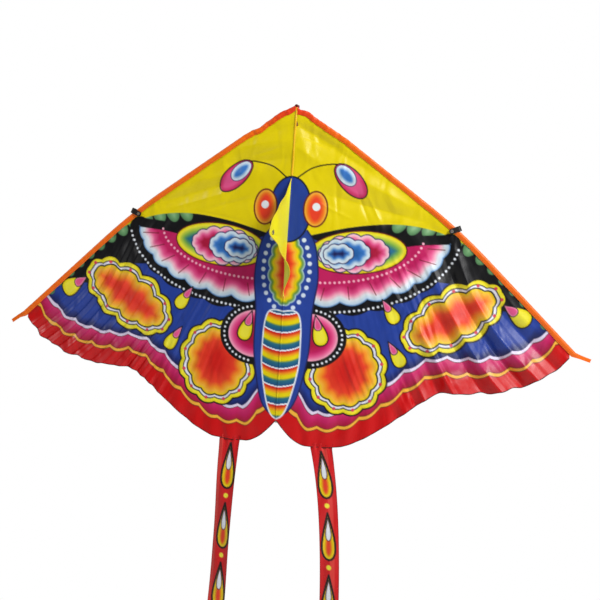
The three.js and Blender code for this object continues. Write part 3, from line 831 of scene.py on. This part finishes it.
def binding(side_name):
    """Rings of points from the back lip round to the front lip, along the edge and out along the tab."""
    side = SIDES[side_name]
    rings = []
    lip = np.array([9.2, 7.6, 5.6, 3.6, 1.8, 0.6, 0.0, 0.6, 1.8, 3.6, 5.6, 7.6, 9.2]) / BINDING_W
    round_ = np.array([1.0, 1.5, 2.3, 2.9, 2.6, 1.5, 0.0, -1.5, -2.6, -2.9, -2.3, -1.5, -1.0])
    for distance in np.arange(1.0, EDGE_LENGTH + 0.1, BINDING_STEP):
        soft = 1 - ease(distance, 88, 112)
        pucker = math.sin(distance / 2.3) + 0.7 * math.sin(distance / 1.37 + 1)
        pucker += 0.5 * math.sin(distance / 4.9 + side)
        depth = round_ * (1 - 0.42 * soft + (0.03 + 0.12 * soft) * pucker)
        depth = depth * ease(distance, -14, 12) + 0.25 * soft * math.sin(distance / 6.1 + side) * (1 - lip)
        width = BINDING_W * (1 + 0.02 * math.sin(distance / 9.7 + side) - 0.25 * (1 - ease(distance, 0, 14)))
        shift = -nose_dent(side, distance) + 0.12 * pucker * (0.4 + soft)
        u, v = edge_at(np.full(len(lip), distance), lip * width + shift)
        rings.append(np.stack([np.maximum(u, TAPE_CLEAR), v, depth], 1))
    start = np.array(TAB_START)
    slant = TAB_SLANT[side_name]
    way = np.array([math.cos(slant), math.sin(slant)])
    inwards = np.array([-way[1], way[0]])
    edge_end = rings[-1]
    for step in np.linspace(0.06, 1, 16):
        middle = start + way * TAB_LEN * step * 0.98
        turn = ease(step, 0, 0.3)
        width = TAB_W * (1 - 0.12 * step)
        flat = middle + inwards * ((lip - 0.5) * width)[:, None]
        curl = 1.6 * math.sin(2.2 * step + side) * step
        thin = np.sign(round_) * 0.32 * (np.abs(round_) > 0) + curl
        ragged = 0.5 * np.sin(lip * 17 + side) * (step > 0.95)
        ring = np.stack([flat[:, 0] + ragged * way[0], flat[:, 1] + ragged * way[1], thin], 1)
        carried = edge_end + np.append(way * TAB_LEN * step, 0)
        rings.append(carried * (1 - turn) + ring * turn)
    return np.array(rings)


for side_name, side in SIDES.items():
    wing = f"{side_name}_wing"
    rings = binding(side_name)
    points = on_wing(side, rings[..., 0], rings[..., 1], rings[..., 2]).reshape(-1, 3)
    faces = lattice(len(rings), rings.shape[1])
    if side > 0:
        faces = [face[::-1] for face in faces]
    faded = ease(np.arange(len(rings)) * BINDING_STEP, *BINDING_FADE[side_name])
    faded = np.repeat(faded, rings.shape[1])[:, None]
    colours = np.array((230, 62, 20)) * (1 - faded) + np.array((244, 108, 4)) * faded
    tape = new_piece(f"{side_name}_binding_tape", points, faces, colours)
    tape.data.materials.append(BINDING)
    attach(tape, wing)
    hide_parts(f"{side_name}_edge_binding", f"{side_name}_tip_tab")

    distance = np.arange(16, EDGE_LENGTH - 2, 1.5)
    rows = []
    for face_side in (-1, 1):
        u, v = edge_at(distance, SEAM_INSET - nose_dent(side, distance))
        line = on_wing(side, u, v, face_side * 1.62)
        rows.append(stitches(line))
    points, faces = joined(rows)
    seam = new_piece(f"{side_name}_binding_stitches", points, faces)
    seam.data.materials.append(THREAD)
    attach(seam, wing)


# ---- centre: seam tape, nose hood, spine sleeve and pocket ----

down = np.arange(3.9, 500.2, 1.2)
profile = np.array([(-1.5, -0.55), (-1.0, -1.0), (0.0, -1.22), (1.0, -1.0), (1.5, -0.55)])
rings = []
for v in down:
    sway = 0.18 * math.sin(v / 11) + 0.12 * math.sin(v / 4.3)
    ripple = 0.05 * math.sin(v / 2.1)
    rings.append(np.stack([profile[:, 0] + sway, profile[:, 1] + ripple, np.full(5, -v)], 1))
rings = np.array(rings)
colours = butterfly(np.full(len(down), 0.8), down)
colours[down < 113] = (238, 186, 0)
seam = new_piece(
    "centre_seam_tape_cloth", rings.reshape(-1, 3) / 1000, lattice(len(rings), 5), np.repeat(colours, 5, 0)
)
seam.data.materials.append(PRINTED)
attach(seam, "spine")
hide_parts("centre_seam_tape")


def soft_tube(name, half_width, depth, top, foot, material, puckers, closed_foot):
    """A strip of cloth folded round the spine and sewn to the seam in front, open or closed at its foot."""
    middle, half = (depth[0] + depth[1]) / 2, (depth[1] - depth[0]) / 2
    angle = np.linspace(-0.47 * math.pi, 1.47 * math.pi, 25)
    square = (np.abs(np.cos(angle)) ** 4 + np.abs(np.sin(angle)) ** 4) ** -0.25
    rings = []
    for z in np.arange(top, foot + 0.01, 1.5):
        draw = 1 - puckers * (0.5 + 0.5 * np.sin(z / 3.1 + 3 * angle) * np.sin(z / 8.3 + angle))
        if closed_foot:
            draw = draw * math.sqrt(max(0.02, 1 - ease(z, foot - 7, foot) ** 2))
        x = half_width * square * np.cos(angle) * draw
        y = middle + half * square * np.sin(angle) * draw
        rings.append(np.stack([x, y, np.full(len(angle), -z)], 1))
    faces = lattice(len(rings), len(angle))
    if closed_foot:
        faces.append(tuple(range((len(rings) - 1) * len(angle), len(rings) * len(angle))))
    piece = new_piece(name, np.vstack(rings) / 1000, faces)
    piece.data.materials.append(material)
    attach(piece, "spine")
    return piece


sleeve = soft_tube("spine_sleeve_cloth", 2.75, (2.3, 7.5), 14, 496, TAPE, 0.12, False)
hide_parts("spine_sleeve")

hood = soft_tube("nose_hood_cloth", 3.9, (1.4, 8.6), 0.2, 33.8, NOSE_CLOTH, 0.1, False)
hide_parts("nose_hood")
knot_points, knot_faces = tube(
    np.array([
        (-2.6, -0.9, -2.4), (-1.4, -1.5, -1.2), (0, -1.6, -0.9), (1.4, -1.5, -1.2), (2.6, -0.9, -2.4),
    ]) / 1000,
    np.array([0.7, 1.25, 1.5, 1.25, 0.7]) / 1000,
    12,
)
roof = tube(
    np.array([(0, -1.4, -1.0), (0, 0.6, 0.1), (0, 3.4, 0.1), (0, 6.2, -0.4), (0, 8.0, -1.8)]) / 1000,
    np.array([1.2, 2.4, 3.2, 2.8, 1.0]) / 1000,
    12,
)
points, faces = joined([(knot_points, knot_faces), (roof[0] * (1, 1, 0.35) - (0, 0, 0.0009), roof[1])])
knot = new_piece("nose_tack", points, faces)
knot.data.materials.append(NOSE_CLOTH)
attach(knot, "spine")

pocket = soft_tube("spine_pocket_cloth", 5.7, (1.4, 8.6), 478, 508.6, POCKET_CLOTH, 0.1, True)
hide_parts("spine_pocket")


# ---- keel: a soft fin that flops to the left, its lower part curled back to the right ----


def keel_edge(down):
    """How far the fin reaches from its root."""
    top = ease(down, KEEL_TOP, 214) ** 0.86
    foot = 1 - np.clip((down - 209) / (KEEL_FOOT - 209), 0, 1)
    return 3.0 + KEEL_REACH * np.where(down < 207, top, foot**1.25)


def keel_points(reach, down):
    """Points of the fin, at a share of its reach from the root."""
    edge = keel_edge(down)
    radius = 2.4 + (edge - 2.4) * reach
    curl = (9 * ease(down, 211, 228) + 8 * ease(down, 232, 258)) * (1 - ease(down, 262, 304))
    aside = -curl * reach**1.3
    belly = np.sin(math.pi * reach) * np.sin((down - KEEL_TOP) / 60 * math.pi)
    aside += 2.2 * belly * (1 - ease(reach, 0.7, 0.95))
    plain = 1 - ease(down, 190, 205) * (1 - ease(down, 222, 240))
    aside += 0.7 * np.sin(radius / 6.5 + down / 21) * reach * plain
    along_x, along_y = -math.sin(KEEL_LEAN), -math.cos(KEEL_LEAN)
    x = radius * along_x - aside * math.cos(KEEL_LEAN)
    y = radius * along_y + aside * math.sin(KEEL_LEAN)
    return np.stack([x, y, -down], -1) / 1000, radius


rows = np.linspace(KEEL_TOP + 0.5, KEEL_FOOT - 0.5, 150)
shares = np.linspace(0, 1, 64)
share_grid, row_grid = np.meshgrid(shares, rows)
points, radius = keel_points(share_grid, row_grid)
faces = lattice(len(rows), len(shares))
eyelet_gap = np.hypot(radius - EYELET_AT[0], row_grid - EYELET_AT[1]).ravel()
faces = [face for face in faces if min(eyelet_gap[k] for k in face) > EYELET_ROOM]
pale = ease(row_grid, 222, 292) * 0.75 + 0.35 * (1 - ease(share_grid, 0.0, 0.3))
pale = np.clip(pale, 0, 1).ravel()[:, None]
colours = np.array((228, 220, 26)) * (1 - pale) + np.array((226, 230, 118)) * pale
fin = new_piece("keel_cloth_fin", points.reshape(-1, 3), faces, colours)
fin.data.materials.append(KEEL_CLOTH)
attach(fin, "keel")
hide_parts("keel_fin")

rim_rows = np.linspace(KEEL_TOP + 1, KEEL_FOOT - 1, 130)
rim = keel_points(np.ones(len(rim_rows)), rim_rows)[0]
points, faces = tube(rim, 0.0007, 6)
rim_tape = new_piece("keel_rolled_edge", points, faces)
rim_tape.data.materials.append(KEEL_CLOTH)
layer = rim_tape.data.color_attributes.new("print", "FLOAT_COLOR", "POINT")
layer.data.foreach_set("color", np.tile(np.append(linear((226, 204, 40)), 1.0), len(rim_tape.data.vertices)))
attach(rim_tape, "keel")
line = keel_points(np.full(len(rim_rows), 0.93), rim_rows)[0]
points, faces = stitches(line + (-0.0003, 0, 0))
keel_seam = new_piece("keel_stitches", points, faces)
keel_seam.data.materials.append(YELLOW_THREAD)
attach(keel_seam, "keel")


# ---- tails ----

TAIL_MIDDLE = (TAIL_SPAN[0] + TAIL_SPAN[1]) / 2
DROP_GAP = 98


def streamer(across, down, lean):
    """The printed picture of a tail: plain drops that repeat down it. across is from its middle."""
    art = Print(across, down, (204, 22, 26))
    outer = -30 * lean - 2
    stripe = arcs([(outer, -20), (outer, 480), (-7 * lean - 2, 480), (-8 * lean - 2, -20)])
    art.fill(stripe, (222, 62, 56))
    middle = 3.0 * lean
    flame = [(0, AMBER), (4, YELLOW), (9, SCARLET)]
    for top in range(12, 480, DROP_GAP):
        art.shape(drop((middle, top - 8), (middle, top + 66), 22), flame, 3)
        art.shape(drop((middle, top), (middle, top + 36), 9), [(0, ROSE), (1.6, WHITE)], 1)
        art.dots([(middle, top + 78)], 4, LEMON)
    return art.rgb


def tail_points(side_name, share, down):
    """Points of a tail at a share of its width from the inner edge, and how far from its middle they are."""
    side = SIDES[side_name]
    below = np.maximum(down, 0)
    middle = TAIL_MIDDLE + TAIL_DRIFT[side_name] * (1 - np.exp(-below / TAIL_SETTLE))
    spread = TAIL_SPAN[1] - TAIL_SPAN[0] - TAIL_W
    width = TAIL_W + spread * np.exp(-below / TAIL_NARROWING)
    across = (share - 0.5) * width
    gather = np.exp(-below / 16)
    back = 0.9 * gather * np.sin(share * 2 * math.pi * 3.5 + side)
    turn = 0.35 * np.sin(below / 120 + (0.6 if side < 0 else 2.2)) * ease(below, 20, 160)
    back = back + across * turn + 2.6 * np.sin(below / 71 + side) * ease(below, 30, 150)
    fold = ease(np.abs(share - 0.5), 0.26, 0.5)
    crimp = fold * (1 - 0.8 * gather) * np.where(share > 0.5, 1, -0.6)
    back = back + 1.5 * crimp * (1 - 0.4 * np.sin(below / 43))
    back = back + 0.5 * np.sin(across / 4.6 + below / 19 + side) * ease(below, 8, 40)
    back = back + 0.9 * (1 - ease(down, -6, 2))
    reach = TAIL_HINGE + TAIL_GAP + down
    return on_wing(side, middle + across, reach, back), across


for side_name, side in SIDES.items():
    rows = np.arange(-9.0, TAIL_LEN + 0.1, 1.25)
    shares = np.linspace(0, 1, 27)
    share_grid, row_grid = np.meshgrid(shares, rows)
    points, across = tail_points(side_name, share_grid, row_grid)
    faces = lattice(len(rows), len(shares))
    if side < 0:
        faces = [face[::-1] for face in faces]
    colours = streamer(across.ravel() * side, row_grid.ravel(), 1.0 if side < 0 else -0.35)
    edge = np.abs(share_grid.ravel() - 0.5) > 0.475
    colours[edge] = colours[edge] * 0.55
    tail = new_piece(f"{side_name}_tail_cloth", points.reshape(-1, 3), faces, colours)
    tail.data.materials.append(PRINTED)
    above = on_wing(side, TAIL_MIDDLE, TAIL_HINGE - 4)
    below = on_wing(side, TAIL_MIDDLE, TAIL_HINGE + 5)
    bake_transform(tail)
    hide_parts(f"{side_name}_tail")

    share = np.linspace(0.04, 0.96, 30)
    line = tail_points(side_name, share, np.full(len(share), -6.0))[0]
    points, faces = stitches(line + (0, -0.0016, 0))
    tack = new_piece(f"{side_name}_tail_stitches", points, faces)
    tack.data.materials.append(HEM)
    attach(tack, f"{side_name}_wing")


# ---- the CAD's own pieces: rods, caps, straps, rivets and the tow eyelet ----

FINISHES = {
    "rod": ROD,
    "cap": CAPS,
    "clip": STRAP,
    "rivet": NICKEL,
    "eyelet": NICKEL,
}
for name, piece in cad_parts.items():
    if piece.hide_render:
        continue
    words = name.split("_")
    finish = FINISHES[next(word for word in reversed(words) if word in FINISHES)]
    piece.data.materials.clear()
    piece.data.materials.append(finish)

# ---- floor, light and camera ----

FLOOR_LEVEL = -1.062
floor_points = [(x, y, FLOOR_LEVEL) for x, y in ((-3.2, -3.6), (3.2, -3.6), (3.2, 0.4), (-3.2, 0.4))]
floor = new_piece("studio_floor", floor_points, [(0, 1, 2, 3)])
floor_material, nodes, links, bsdf = shader("floor_paper", Roughness=0.9)
paper = texture(nodes, links, "ShaderNodeTexNoise", 60, 4)
links.new(shaded(nodes, links, (236, 236, 234), paper.outputs["Fac"], 0.97, 1.03), bsdf.inputs["Base Color"])
floor.data.materials.append(floor_material)


LIT = (0, 0, -0.3)  # where every lamp points


def softbox(name, at, size, power):
    lamp = bpy.data.lights.new(name, "AREA")
    lamp.shape = "RECTANGLE"
    lamp.size, lamp.size_y = size
    lamp.energy = power
    rig = bpy.data.objects.new(name, lamp)
    rig.location = at
    rig.rotation_mode = "QUATERNION"
    rig.rotation_quaternion = (Vector(LIT) - Vector(at)).to_track_quat("-Z", "Y")
    bpy.context.scene.collection.objects.link(rig)


softbox("key_light", (1.7, -1.5, 1.15), (0.8, 0.8), 64)
softbox("rake_light", (-2.1, -0.9, 1.0), (0.5, 0.5), 18)
softbox("side_light", (2.5, -0.5, -0.3), (0.9, 1.3), 8)
softbox("back_light", (0.9, 2.2, 1.2), (1.4, 1.4), 30)

world = bpy.data.worlds.new("studio_world")
bpy.context.scene.world = world
world.use_nodes = True
nodes, links = world.node_tree.nodes, world.node_tree.links
background = nodes["Background"]
background.inputs["Color"].default_value = (1, 1, 1, 1)
seen = node(nodes, "ShaderNodeLightPath")
strength = ranged(nodes, links, seen.outputs["Is Camera Ray"], 0.1, 1.0)
links.new(strength, background.inputs["Strength"])

AZIMUTH = math.radians(9.35)
ELEVATION = math.radians(1.0)
ROLL = math.radians(3.82)
AIM = Vector((0.0261, 0.0, -0.3091))
DISTANCE = 1.5
away = Vector((
    math.sin(AZIMUTH) * math.cos(ELEVATION),
    -math.cos(AZIMUTH) * math.cos(ELEVATION),
    math.sin(ELEVATION),
))
lens = bpy.data.cameras.new("camera")
lens.sensor_width = 36
lens.lens = 56.63
camera = bpy.data.objects.new("camera", lens)
camera.location = AIM + away * DISTANCE
camera.rotation_mode = "QUATERNION"
camera.rotation_quaternion = (-away).to_track_quat("-Z", "Y") @ Matrix.Rotation(ROLL, 3, "Z").to_quaternion()
bpy.context.scene.collection.objects.link(camera)
bpy.context.scene.camera = camera
bpy.context.scene.view_settings.view_transform = "Standard"
bpy.context.scene.view_settings.look = "None"
